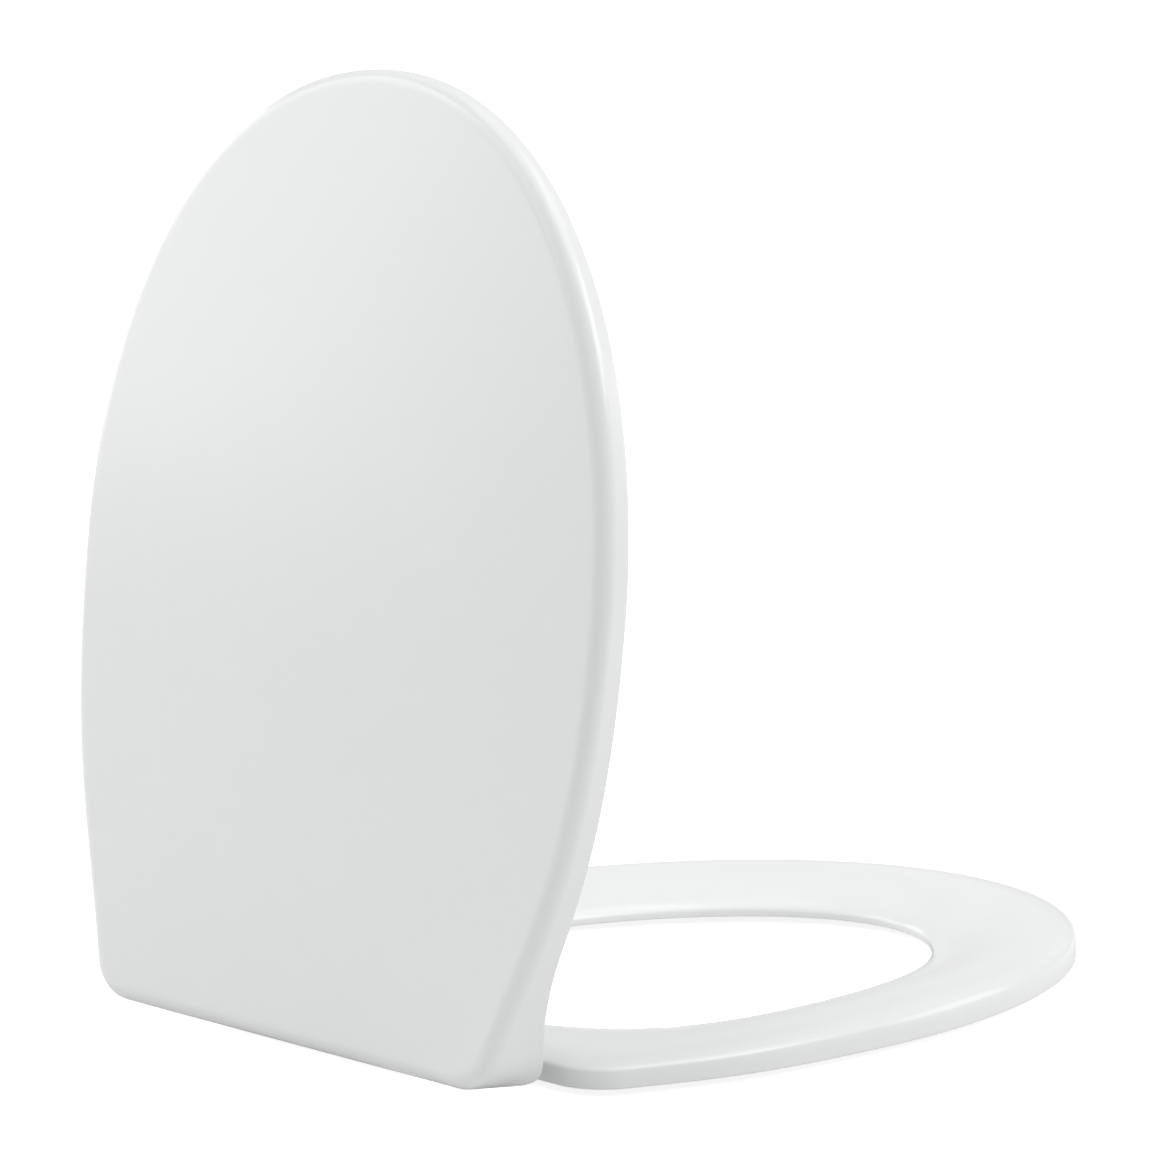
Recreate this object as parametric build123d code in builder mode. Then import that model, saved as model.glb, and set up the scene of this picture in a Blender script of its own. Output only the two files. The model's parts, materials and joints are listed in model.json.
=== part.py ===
"""Toilet seat: a moulded lid and a contoured ring that swing on one pin line.

Millimetres. The origin lies midway between the two fixing bolts, on top of the bowl. +Z is up
and -Y is the front. The ring lies on its buffers and the lid stands raised. Outlines are drawn
with the pin line as their X axis, the front towards -Y. Side views run rearwards and upwards
from the pin line.
"""

import os
from math import cos, radians, sin, tan

from build123d import *

# Pin line and fixing
bolt_spacing = 155.0
pin_behind_bolt = 16.0
pin_height = 16.0
lid_raised = 83.5

# Lid outline, seen square on
lid_length = 440.0
lid_width = 360.0
lid_behind_pin = 12.0
lid_widest = 195.0
lid_rear_width = 268.0
lid_rear_splay = 18.0
lid_corner = 16.0
lid_fullness = (0.626, 0.549, 0.499, 0.375)

# Lid side view: pulls of the bowed face over the skirt line, from before the tip to behind the rear
lid_fore_end = 6.6
lid_fore_pull = 23.3
lid_aft_pull = 6.7
lid_aft_end = 25.7
lid_rear_drop = 19.5
lid_drop_length = 66.0
lid_shoulder = 7.5
lid_wall = 3.5
lid_face = 4.0
lid_gap = 5.5
lid_blank = 100.0
lid_hollow_reach = 60.0
profile_room = 20.0

# Ring outline, seen from above
ring_front = 426.5
ring_width = 357.0
ring_rear = 16.0
ring_widest = 172.0
ring_rear_width = 300.0
ring_rear_splay = 19.5
ring_corner = 26.0
ring_fullness = (0.611, 0.501, 0.504, 0.381)
hole_width = 227.0
hole_widest = 184.0
hole_front = 353.5
hole_rear = 62.0
hole_fullness = (0.53, 0.51, 0.55, 0.6)
middle_fullness = (0.6, 0.53, 0.54, 0.62)

# Ring section
ring_standoff = 4.0
ring_height = 18.0
ring_fall = 12.0
ring_shoulder = 11.0
ring_inner_round = 5.5
ring_wall = 4.0
rib_thickness = 3.0
rib_recess = 2.0
rib_length = 100.0
rib_stations = (0.2, 0.7, 1.0, 1.3)

# Hinge
pin_radius = 4.0
pin_head_radius = 6.0
pin_head = 2.0
pin_end_length = 0.5
bush_wall = 1.2
bush_flange = 1.2
bush_flange_radius = 6.5
running_clearance = 0.05
side_clearance = 0.3
lug_radius = 7.5
lug_width = 12.0
lid_lug_front = 14.0
lid_lug_rear = 10.0
lid_lug_start = 15.0
ring_lug_root = 14.0
ring_lug_over = 2.0
ring_lug_under = 4.0
post_width = 24.0
post_foot_front = 12.0
post_foot_rear = 8.0
post_foot_height = 7.0
post_clearance = 1.2
post_edge = 0.8
notch_top_margin = 2.5
insert_radius = 5.5
insert_bore_radius = 3.4
insert_length = 10.0
gasket_thickness = 1.5
gasket_clearance = 0.15

# Buffers
lid_buffer_radius = 5.0
lid_buffer_head = 3.0
lid_buffer_station = 0.5
lid_buffer_inset = 14.0
lid_boss_radius = 7.0
stem_radius = 2.5
stem_length = 5.0
seat_gap = 0.3
ring_buffer_length = 36.0
ring_buffer_width = 14.0
ring_buffer_seat = 2.5
ring_buffer_edge = 1.0
ring_boss_margin = 3.0
ring_buffer_stations = {"front": 0.42, "rear": 1.5}

# Derived heights and planes
lid_skirt_line = ring_standoff + ring_height + lid_gap - pin_height
lid_reach = lid_length - lid_behind_pin
lid_boss_foot = lid_skirt_line - lid_gap + seat_gap + lid_buffer_head
turn = radians(lid_raised)
pin_point = (0, pin_behind_bolt, pin_height)
lid_plane = Plane(origin=pin_point, x_dir=(1, 0, 0), z_dir=(0, sin(turn), cos(turn)))
lid_side = Plane(origin=pin_point, x_dir=lid_plane.y_dir, z_dir=(1, 0, 0))
lid_up = Axis(lid_plane.origin, lid_plane.z_dir)
ring_plane = Plane((0, pin_behind_bolt, ring_standoff))
ring_side = Plane(origin=pin_point, x_dir=(0, 1, 0), z_dir=(1, 0, 0))
ring_slope = tan(radians(ring_fall))
ring_edge_height = ring_height - ring_shoulder * (1 - 1 / cos(radians(ring_fall)) - ring_slope)
hole_middle = (0, pin_behind_bolt - (hole_front + hole_rear) / 2, ring_standoff + ring_height / 2)

# Stations along the pin line, counted from the middle
sides = {"left": -1, "right": 1}
post_middle = bolt_spacing / 2
notch_width = post_width + 2 * post_clearance
lid_lug_middle = post_middle - post_width / 2 - side_clearance - bush_flange - lug_width / 2
ring_lug_middle = post_middle + post_width / 2 + side_clearance + bush_flange + lug_width / 2
lid_lug_inner = lid_lug_middle - lug_width / 2
ring_lug_outer = ring_lug_middle + lug_width / 2
pin_head_face = lid_lug_inner - side_clearance
pin_end = ring_lug_outer + pin_end_length
bush_radius = pin_radius + running_clearance + bush_wall


def front_quarter(half, tip, widest, full):
    """Draw the right-hand quarter of an outline from its tip to its widest point."""
    side_pull = full[1] * (tip - widest)
    return Bezier((0, -tip), (full[0] * half, -tip), (half, -widest - side_pull), (half, -widest))


def rear_quarter(half, widest, rear, full):
    """Draw the right-hand quarter of an oval from its widest point to its rear."""
    side_pull = full[2] * (widest - rear)
    return Bezier((half, -widest), (half, -widest + side_pull), (full[3] * half, -rear), (0, -rear))


def square_ended(half, tip, widest, rear, rear_half, splay, corner, full):
    """Make an outline with a round tip and a straight rear edge at +rear, with rounded corners."""
    side_pull = full[3] * (widest + rear)
    with BuildSketch() as face:
        with BuildLine():
            front_quarter(half, tip, widest, full)
            Bezier(
                (half, -widest),
                (half, -widest + full[2] * (widest + rear)),
                (rear_half + side_pull * tan(radians(splay)), rear - side_pull),
                (rear_half, rear),
            )
            mirror(about=Plane.YZ)
            Line((rear_half, rear), (-rear_half, rear))
        make_face()
        fillet(face.vertices().group_by(Axis.Y)[-1], corner)
    return face.sketch


def rear_corner(rear_width, splay, inset):
    """Half-width across the rear edge once the outline is drawn in by inset."""
    return rear_width / 2 - inset * (1 / cos(radians(splay)) - tan(radians(splay)))


def lid_outline(inset):
    """The lid's outline, drawn in by inset."""
    return square_ended(
        lid_width / 2 - inset,
        lid_reach - inset,
        lid_widest,
        lid_behind_pin - inset,
        rear_corner(lid_rear_width, lid_rear_splay, inset),
        lid_rear_splay,
        lid_corner - inset,
        lid_fullness,
    )


def ring_outline(inset, corner):
    """The ring's outer outline, drawn in by inset."""
    return square_ended(
        ring_width / 2 - inset,
        ring_front - inset,
        ring_widest,
        -ring_rear - inset,
        rear_corner(ring_rear_width, ring_rear_splay, inset),
        ring_rear_splay,
        corner,
        ring_fullness,
    )


def hole_outline(outset):
    """The oval of the ring's hole, let out by outset."""
    with BuildSketch() as face:
        with BuildLine():
            front_quarter(hole_width / 2 + outset, hole_front + outset, hole_widest, hole_fullness)
            rear_quarter(hole_width / 2 + outset, hole_widest, hole_rear - outset, hole_fullness)
            mirror(about=Plane.YZ)
        make_face()
    return face.sketch


def lid_form(inset, face_drop, skirt_reach, shoulder):
    """The lid as a solid block, drawn in by inset, its face lowered and its skirt let down."""
    start = -lid_reach - profile_room
    end = lid_behind_pin + profile_room
    third = (end - start) / 3
    top = lid_skirt_line - face_drop
    foot = lid_skirt_line - skirt_reach
    drop_start = lid_behind_pin - lid_drop_length
    drop_run = end - drop_start
    heel = foot - lid_rear_drop * (drop_run / lid_drop_length) ** 2
    with BuildPart() as form:
        with BuildSketch(lid_plane.offset(-lid_blank)):
            add(lid_outline(inset))
        extrude(amount=2 * lid_blank)
        with BuildSketch(lid_side.offset(-lid_width)):
            with BuildLine():
                Bezier(
                    (start, top + lid_fore_end),
                    (start + third, top + lid_fore_pull),
                    (end - third, top + lid_aft_pull),
                    (end, top + lid_aft_end),
                )
                Line((end, top + lid_aft_end), (end, heel))
                Bezier((end, heel), (end - drop_run / 2, foot), (drop_start, foot))
                Polyline((drop_start, foot), (start, foot), (start, top + lid_fore_end))
            make_face()
        extrude(amount=2 * lid_width, mode=Mode.INTERSECT)
        fillet(form.faces().sort_by(lid_up)[-1].edges(), shoulder)
    return form.part


def lid_fittings():
    """The two hinge lugs and the two buffer bosses, reaching into the lid's plate."""
    lug_length = lid_lug_front + lid_lug_rear
    with BuildPart() as fittings:
        for sign in sides.values():
            with BuildSketch(lid_side.offset(sign * lid_lug_middle - lug_width / 2)):
                Circle(lug_radius)
                with Locations(((lid_lug_rear - lid_lug_front) / 2, (lid_lug_start + lid_blank) / 2)):
                    Rectangle(lug_length, lid_blank - lid_lug_start)
                make_hull()
            extrude(amount=lug_width)
            with BuildSketch(lid_plane.offset(lid_boss_foot)):
                with Locations((sign * lid_buffer_at.X, lid_buffer_at.Y)):
                    Circle(lid_boss_radius)
            extrude(amount=lid_blank)
        add(
            lid_form(lid_wall / 2, lid_face / 2, lid_hollow_reach, lid_shoulder - lid_wall / 2),
            mode=Mode.INTERSECT,
        )
    return fittings.part


def ring_dish(height):
    """The space over the ring: a shallow dish that leaves the top falling towards the hole."""
    fall_run = (ring_width - hole_width) / 2 + 2 * ring_shoulder
    lip_height = height + ring_shoulder * ring_slope
    with BuildPart() as dish:
        with BuildSketch(ring_plane.offset(lip_height)):
            add(ring_outline(-ring_shoulder, ring_corner))
        with BuildSketch(ring_plane.offset(height - fall_run * ring_slope)):
            add(ring_outline(fall_run, ring_corner))
        loft(ruled=True)
        with BuildSketch(ring_plane.offset(lip_height)):
            add(ring_outline(-ring_shoulder, ring_corner))
        extrude(amount=ring_height)
    return dish.part


def ring_form(inset, shoulder, inner_round):
    """The ring as a solid, drawn in by inset everywhere but below, its edges rounded over."""
    height = ring_edge_height - inset
    rim_height = ring_standoff + height - ring_slope * ring_shoulder
    with BuildPart() as form:
        with BuildSketch(ring_plane):
            add(ring_outline(inset, ring_corner - inset))
        extrude(amount=height + ring_height / 2)
        add(ring_dish(height), mode=Mode.SUBTRACT)
        rim = form.edges().filter_by(lambda edge: min((edge @ 0).Z, (edge @ 1).Z) > rim_height)
        fillet(rim, shoulder)
        with BuildSketch(ring_plane):
            add(hole_outline(inset))
        extrude(amount=height, mode=Mode.SUBTRACT)
        upright = form.faces().filter_by(lambda face: abs(face.normal_at().Z) < ring_slope)
        hole_rim = upright.sort_by_distance(hole_middle)[0].edges().filter_by(Axis.Z, reverse=True)
        if inner_round > 0:
            fillet(hole_rim.filter_by(lambda edge: edge.center().Z > ring_standoff), inner_round)
    return form.part


def ring_station(sign, station):
    """A level frame on the middle of the ring's section, 0 at the tip and 1 at the widest point."""
    half = (ring_width + hole_width) / 4
    if station < 1:
        line = front_quarter(half, (ring_front + hole_front) / 2, ring_widest, middle_fullness)
    else:
        line = rear_quarter(half, ring_widest, (ring_rear + hole_rear) / 2, middle_fullness)
    point = line @ (station % 1)
    along = line % (station % 1)
    origin = (sign * point.X, pin_behind_bolt + point.Y, ring_standoff)
    return Plane(origin, x_dir=(sign * along.X, along.Y, 0), z_dir=(0, 0, 1))


def ring_stiffeners():
    """What stands inside the ring: hinge blocks, cross ribs and the bosses of its buffers."""
    block_inner = post_middle - notch_width / 2 - ring_wall
    block_outer = ring_lug_outer + ring_wall
    block_front = post_foot_front + post_clearance + ring_wall
    boss_length = ring_buffer_length + 2 * ring_boss_margin
    boss_width = ring_buffer_width + 2 * ring_boss_margin
    with BuildPart() as stiffeners:
        for sign in sides.values():
            with BuildSketch(ring_plane):
                with Locations((sign * (block_inner + block_outer) / 2, -pin_behind_bolt - block_front / 2)):
                    Rectangle(block_outer - block_inner, block_front)
            extrude(amount=ring_height)
            for station in rib_stations:
                with BuildSketch(ring_station(sign, station).offset(rib_recess)):
                    Rectangle(rib_thickness, rib_length)
                extrude(amount=ring_height)
            for station in ring_buffer_stations.values():
                with BuildSketch(ring_station(sign, station)):
                    SlotOverall(boss_length, boss_width)
                extrude(amount=ring_height)
    return stiffeners.part


def ring_hollow():
    """The space under the ring, open below, less what stands in it."""
    with BuildPart() as hollow:
        add(ring_form(ring_wall, ring_shoulder - ring_wall, 0))
        add(ring_stiffeners(), mode=Mode.SUBTRACT)
    return hollow.part


def ring_lugs():
    """The two lugs that reach back from the ring to the pin line."""
    with BuildPart() as lugs:
        for sign in sides.values():
            with BuildSketch(ring_side.offset(sign * ring_lug_middle - lug_width / 2)):
                Circle(lug_radius)
                with Locations((-ring_rear - ring_lug_root / 2, (ring_lug_over - ring_lug_under) / 2)):
                    Rectangle(ring_lug_root, ring_lug_over + ring_lug_under)
                make_hull()
            extrude(amount=lug_width)
    return lugs.part


def ring_cuts():
    """Notches round the posts, bores of the lugs and seats of the buffers."""
    with BuildPart() as cuts:
        for sign in sides.values():
            with BuildSketch(ring_plane):
                with Locations((sign * post_middle, -pin_behind_bolt)):
                    Rectangle(notch_width, 2 * (post_foot_front + post_clearance))
            extrude(amount=2 * ring_height)
            with BuildSketch(pin_plane(sign, ring_lug_outer - lug_width)):
                Circle(bush_radius)
            extrude(amount=lug_width)
            for station in ring_buffer_stations.values():
                with BuildSketch(ring_station(sign, station)):
                    SlotOverall(ring_buffer_length, ring_buffer_width)
                extrude(amount=ring_buffer_seat)
                with BuildSketch(ring_station(sign, station).offset(ring_buffer_seat)):
                    Circle(stem_radius)
                extrude(amount=stem_length)
    return cuts.part


def pin_plane(sign, station):
    """A plane square to the pin line at a station, facing away from the middle."""
    return Plane(origin=(sign * station, pin_behind_bolt, pin_height), x_dir=(0, 1, 0), z_dir=(sign, 0, 0))


def save(piece, name):
    """Name a finished piece and write it out."""
    piece.part.label = name
    export_step(piece.part, f"parts/{name}.step")


os.makedirs("parts", exist_ok=True)
crest_line = front_quarter(
    ring_width / 2 - lid_buffer_inset, ring_front - lid_buffer_inset, ring_widest, ring_fullness
)
lid_buffer_at = crest_line @ lid_buffer_station

# Lid: a bowed wedge shell, its rear skirt let down over the hinge
notch_top = lid_skirt_line + lid_aft_end - lid_shoulder - notch_top_margin
with BuildPart() as lid:
    add(lid_form(0, 0, 0, lid_shoulder))
    add(lid_form(lid_wall, lid_face, lid_hollow_reach, lid_shoulder - lid_wall), mode=Mode.SUBTRACT)
    for sign in sides.values():
        with BuildSketch(lid_side.offset(sign * post_middle - notch_width / 2)):
            with Locations((lid_behind_pin, notch_top - lid_blank / 2)):
                Rectangle(2 * lid_behind_pin, lid_blank)
        extrude(amount=notch_width, mode=Mode.SUBTRACT)
    add(lid_fittings())
    for sign in sides.values():
        with BuildSketch(pin_plane(sign, lid_lug_inner)):
            Circle(bush_radius)
        extrude(amount=lug_width, mode=Mode.SUBTRACT)
        with BuildSketch(lid_plane.offset(lid_boss_foot)):
            with Locations((sign * lid_buffer_at.X, lid_buffer_at.Y)):
                Circle(stem_radius)
        extrude(amount=stem_length, mode=Mode.SUBTRACT)
save(lid, "lid")

# Seat ring: a hollow contoured section, notched round the posts
with BuildPart() as seat_ring:
    add(ring_form(0, ring_shoulder, ring_inner_round))
    add(ring_lugs())
    add(ring_hollow(), mode=Mode.SUBTRACT)
    add(ring_cuts(), mode=Mode.SUBTRACT)
save(seat_ring, "seat_ring")

for side, sign in sides.items():
    # Hinge post: a foot over the bolt, leaning back to a round head on the pin line
    with BuildPart() as hinge_post:
        with BuildSketch(Plane.YZ.offset(sign * post_middle - post_width / 2)):
            with Locations((pin_behind_bolt, pin_height)):
                Circle(lug_radius)
            with Locations(((post_foot_rear - post_foot_front) / 2, gasket_thickness + post_foot_height / 2)):
                Rectangle(post_foot_front + post_foot_rear, post_foot_height)
            make_hull()
        extrude(amount=post_width)
        flanks = hinge_post.faces().filter_by(Axis.X)
        chamfer(flanks.edges(), post_edge)
        with BuildSketch(pin_plane(sign, post_middle - post_width / 2)):
            Circle(pin_radius)
        extrude(amount=post_width, mode=Mode.SUBTRACT)
        with BuildSketch(Plane.XY.offset(gasket_thickness)):
            with Locations((sign * post_middle, 0)):
                Circle(insert_radius)
        extrude(amount=insert_length - gasket_thickness, mode=Mode.SUBTRACT)
    save(hinge_post, f"hinge_post_{side}")

    # Threaded insert for the fixing bolt, standing on the bowl so that the gasket isn't crushed
    with BuildPart() as post_insert:
        with BuildSketch():
            with Locations((sign * post_middle, 0)):
                Circle(insert_radius)
                Circle(insert_bore_radius, mode=Mode.SUBTRACT)
        extrude(amount=insert_length)
    save(post_insert, f"post_insert_{side}")

    # Gasket under the foot, round the insert
    with BuildPart() as foot_gasket:
        with BuildSketch():
            with Locations((sign * post_middle, (post_foot_rear - post_foot_front) / 2)):
                Rectangle(post_width, post_foot_front + post_foot_rear)
            with Locations((sign * post_middle, 0)):
                Circle(insert_radius + gasket_clearance, mode=Mode.SUBTRACT)
        extrude(amount=gasket_thickness)
    save(foot_gasket, f"foot_gasket_{side}")

    # Pin, headed towards the middle
    with BuildPart() as hinge_pin:
        with BuildSketch(pin_plane(sign, pin_head_face - pin_head)):
            Circle(pin_head_radius)
        extrude(amount=pin_head)
        with BuildSketch(pin_plane(sign, pin_head_face)):
            Circle(pin_radius)
        extrude(amount=pin_end - pin_head_face)
    save(hinge_pin, f"hinge_pin_{side}")

    # Flanged bush in the lid's lug, its flange towards the post
    with BuildPart() as lid_bush:
        with BuildSketch(pin_plane(sign, lid_lug_inner)):
            Circle(bush_radius)
        extrude(amount=lug_width)
        with BuildSketch(pin_plane(sign, lid_lug_inner + lug_width)):
            Circle(bush_flange_radius)
        extrude(amount=bush_flange)
        with BuildSketch(pin_plane(sign, lid_lug_inner)):
            Circle(pin_radius + running_clearance)
        extrude(amount=lug_width + bush_flange, mode=Mode.SUBTRACT)
    save(lid_bush, f"lid_bush_{side}")

    # Flanged bush in the ring's lug, its flange towards the post
    with BuildPart() as ring_bush:
        with BuildSketch(pin_plane(sign, ring_lug_outer - lug_width - bush_flange)):
            Circle(bush_flange_radius)
        extrude(amount=bush_flange)
        with BuildSketch(pin_plane(sign, ring_lug_outer - lug_width)):
            Circle(bush_radius)
        extrude(amount=lug_width)
        with BuildSketch(pin_plane(sign, ring_lug_outer - lug_width - bush_flange)):
            Circle(pin_radius + running_clearance)
        extrude(amount=lug_width + bush_flange, mode=Mode.SUBTRACT)
    save(ring_bush, f"ring_bush_{side}")

    # Lid buffer: a round head that meets the crest of the ring
    with BuildPart() as lid_buffer:
        with BuildSketch(lid_plane.offset(lid_boss_foot - lid_buffer_head)):
            with Locations((sign * lid_buffer_at.X, lid_buffer_at.Y)):
                Circle(lid_buffer_radius)
        extrude(amount=lid_buffer_head)
        with BuildSketch(lid_plane.offset(lid_boss_foot)):
            with Locations((sign * lid_buffer_at.X, lid_buffer_at.Y)):
                Circle(stem_radius)
        extrude(amount=stem_length)
    save(lid_buffer, f"lid_buffer_{side}")

    # Ring buffers: long pads that stand on the bowl
    for where, station in ring_buffer_stations.items():
        with BuildPart() as ring_buffer:
            with BuildSketch(ring_station(sign, station).offset(-ring_standoff)):
                SlotOverall(ring_buffer_length, ring_buffer_width)
            extrude(amount=ring_standoff + ring_buffer_seat)
            chamfer(ring_buffer.faces().sort_by(Axis.Z)[0].edges(), ring_buffer_edge)
            with BuildSketch(ring_station(sign, station).offset(ring_buffer_seat)):
                Circle(stem_radius)
            extrude(amount=stem_length)
        save(ring_buffer, f"ring_buffer_{where}_{side}")
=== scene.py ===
"""Dress the toilet seat: moulded lid and ring, a finished hinge and a pale studio round it."""

import json
import logging
from dataclasses import dataclass, field, replace
from enum import Enum
from math import atan, atan2, cos, pi, radians, sin, sqrt, tan
from typing import Callable, Mapping, Sequence

import bmesh
import bpy
from mathutils import Matrix, Vector


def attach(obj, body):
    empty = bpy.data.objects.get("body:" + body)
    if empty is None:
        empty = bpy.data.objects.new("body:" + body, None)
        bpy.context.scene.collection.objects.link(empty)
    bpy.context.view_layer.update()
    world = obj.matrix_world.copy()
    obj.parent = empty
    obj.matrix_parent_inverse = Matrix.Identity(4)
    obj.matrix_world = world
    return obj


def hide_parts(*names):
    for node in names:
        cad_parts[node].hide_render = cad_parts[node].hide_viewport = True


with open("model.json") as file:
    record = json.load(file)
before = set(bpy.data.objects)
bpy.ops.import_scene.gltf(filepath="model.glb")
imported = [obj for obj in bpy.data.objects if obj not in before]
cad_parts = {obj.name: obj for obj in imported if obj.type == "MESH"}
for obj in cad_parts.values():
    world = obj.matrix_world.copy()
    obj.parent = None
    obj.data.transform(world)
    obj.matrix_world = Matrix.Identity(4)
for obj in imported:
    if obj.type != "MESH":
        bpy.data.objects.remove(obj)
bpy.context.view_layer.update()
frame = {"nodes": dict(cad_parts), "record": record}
MM = 0.001
WELD = 0.004 * MM
OVERCUT = 1.0
CREASE = 38.0
HALVINGS = 60
STEM_FACETS = 32
log = logging.getLogger("toilet_seat")

Loop = list[Vector]
Colour = tuple[float, float, float]


class Side(Enum):
    """The two sides of the seat, as seen from the front."""

    LEFT = -1
    RIGHT = 1


class Carve(Enum):
    """How one solid changes another."""

    JOIN = "UNION"
    CUT = "DIFFERENCE"
    KEEP = "INTERSECT"


class Axis(Enum):
    """The direction in which a rod lies, as the turn of an upright cylinder."""

    UPRIGHT = (0.0, 0.0, 0.0)
    ALONG_PIN = (0.0, pi / 2, 0.0)


@dataclass(frozen=True)
class Cubic:
    """A plane curve from one point to another, drawn by two pulls, in mm."""

    start: Vector
    first_pull: Vector
    second_pull: Vector
    end: Vector

    def at(self, t: float) -> Vector:
        """Find a point of the curve.

        Args:
            t: Place along the curve, from 0 to 1.

        Returns:
            The point there.
        """
        s = 1 - t
        return (
            self.start * s**3
            + self.first_pull * (3 * s * s * t)
            + self.second_pull * (3 * s * t * t)
            + self.end * t**3
        )

    def heading(self, t: float) -> Vector:
        """Find the direction of the curve.

        Args:
            t: Place along the curve, from 0 to 1.

        Returns:
            A unit vector along the curve there.
        """
        s = 1 - t
        along = (
            (self.first_pull - self.start) * (s * s)
            + (self.second_pull - self.first_pull) * (2 * s * t)
            + (self.end - self.second_pull) * (t * t)
        )
        return along.normalized()

    def evenly(self, until: float, pieces: int, fineness: int = 400) -> list[float]:
        """Divide the curve's first stretch into equal lengths.

        Args:
            until: Where the stretch ends, from 0 to 1.
            pieces: How many equal lengths to make.
            fineness: How many chords measure the stretch.

        Returns:
            The places of the division points, both ends included.
        """
        marks = [until * i / fineness for i in range(fineness + 1)]
        run = [0.0]
        for low, high in zip(marks, marks[1:]):
            run.append(run[-1] + (self.at(high) - self.at(low)).length)
        places, step = [], 0
        for i in range(pieces + 1):
            goal = run[-1] * i / pieces
            while step < fineness - 1 and run[step + 1] < goal:
                step += 1
            share = (goal - run[step]) / (run[step + 1] - run[step])
            places.append(marks[step] + share * (marks[step + 1] - marks[step]))
        return places


@dataclass(frozen=True)
class RimPoint:
    """A point of an outline, with the direction into the material, both seen from above, in mm."""

    place: Vector
    inward: Vector

    def inset(self, depth: float) -> Vector:
        """Step into the material, square to the outline."""
        return self.place + self.inward * depth

    def mirrored(self) -> "RimPoint":
        """The same point on the other side of the seat."""
        flip = Vector((-1.0, 1.0))
        return RimPoint(self.place * flip, self.inward * flip)


@dataclass(frozen=True)
class RimCounts:
    """How finely half an outline is divided, from the tip to the middle of the rear."""

    front: int = 60
    flank: int = 44
    corner: int = 10
    rear: int = 14

    @property
    def half(self) -> int:
        """Divisions from the tip to the middle of the rear."""
        return self.front + self.flank + self.corner + self.rear

    @property
    def grid_corner(self) -> int:
        """The middle of the right rear corner, where a grid that fills the outline starts."""
        return self.front + self.flank + self.corner // 2

    @property
    def grid_span(self) -> int:
        """Divisions from that corner to the other rear corner."""
        return 2 * (self.half - self.grid_corner)


@dataclass(frozen=True)
class RimMarks:
    """Places along the curves of an outline, by which several outlines are divided alike."""

    front: list[float]
    flank: list[float]


def closed(right: Sequence[RimPoint]) -> list[RimPoint]:
    """Complete a mirrored outline.

    Args:
        right: The right half, from the tip to the middle of the rear.

    Returns:
        The whole outline, starting at the tip.
    """
    return [*right, *(point.mirrored() for point in reversed(right[1:-1]))]


def left_of(heading: Vector) -> Vector:
    """The direction to the left of a heading."""
    return Vector((-heading.y, heading.x))


@dataclass(frozen=True)
class SquareEnded:
    """An outline with a round tip towards -Y and a straight rear edge with rounded corners, in mm."""

    half_width: float
    tip: float
    widest: float
    rear: float
    rear_half: float
    splay: float
    corner: float
    fullness: tuple[float, float, float, float]
    counts: RimCounts = RimCounts()

    def front_curve(self) -> Cubic:
        """The right-hand curve from the tip to the widest point."""
        pull = self.fullness[1] * (self.tip - self.widest)
        return Cubic(
            Vector((0.0, -self.tip)),
            Vector((self.fullness[0] * self.half_width, -self.tip)),
            Vector((self.half_width, -self.widest - pull)),
            Vector((self.half_width, -self.widest)),
        )

    def flank_curve(self) -> Cubic:
        """The right-hand curve from the widest point to the rear edge, before its corner is rounded."""
        length = self.widest + self.rear
        pull = self.fullness[3] * length
        return Cubic(
            Vector((self.half_width, -self.widest)),
            Vector((self.half_width, -self.widest + self.fullness[2] * length)),
            Vector((self.rear_half + pull * tan(radians(self.splay)), self.rear - pull)),
            Vector((self.rear_half, self.rear)),
        )

    def corner_start(self, flank: Cubic) -> float:
        """Find where the corner's arc leaves the flank.

        Args:
            flank: The curve that runs into the corner.

        Returns:
            The place on that curve, from 0 to 1.
        """
        low, high = 0.0, 1.0
        for _ in range(HALVINGS):
            middle = (low + high) / 2
            centre = flank.at(middle) + left_of(flank.heading(middle)) * self.corner
            low, high = (middle, high) if centre.y < self.rear - self.corner else (low, middle)
        return low

    def drawn_in(self, inset: float) -> "SquareEnded":
        """The same outline with every side moved in and its corners as round as before.

        Args:
            inset: How far the sides move in, or out where it is negative.

        Returns:
            The other outline.
        """
        lean = radians(self.splay)
        return replace(
            self,
            half_width=self.half_width - inset,
            tip=self.tip - inset,
            rear=self.rear - inset,
            rear_half=self.rear_half - inset * (1 / cos(lean) - tan(lean)),
        )

    def marks(self) -> RimMarks:
        """Divide the outline's curves into equal lengths."""
        flank = self.flank_curve()
        leave = self.corner_start(flank)
        front_places = self.front_curve().evenly(1.0, self.counts.front)
        flank_places = flank.evenly(leave, self.counts.flank)
        return RimMarks(front_places[:-1], [t / leave for t in flank_places[:-1]])

    def rim(self, marks: RimMarks | None = None) -> list[RimPoint]:
        """Divide the whole outline into points, starting at the tip.

        Args:
            marks: Where its curves are divided, or none for equal lengths.

        Returns:
            The points, each with the direction into the material.
        """
        marks = marks or self.marks()
        front, flank = self.front_curve(), self.flank_curve()
        leave = self.corner_start(flank)
        points = [
            RimPoint(curve.at(t), left_of(curve.heading(t)))
            for curve, until, shares in ((front, 1.0, marks.front), (flank, leave, marks.flank))
            for t in (until * share for share in shares)
        ]
        inward = left_of(flank.heading(leave))
        centre = flank.at(leave) + inward * self.corner
        first = atan2(-inward.y, -inward.x)
        for i in range(self.counts.corner):
            angle = first + (pi / 2 - first) * i / self.counts.corner
            out = Vector((cos(angle), sin(angle)))
            points.append(RimPoint(centre + out * self.corner, -out))
        for i in range(self.counts.rear + 1):
            across = centre.x * (1 - i / self.counts.rear)
            points.append(RimPoint(Vector((across, self.rear)), Vector((0.0, -1.0))))
        return closed(points)


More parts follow.
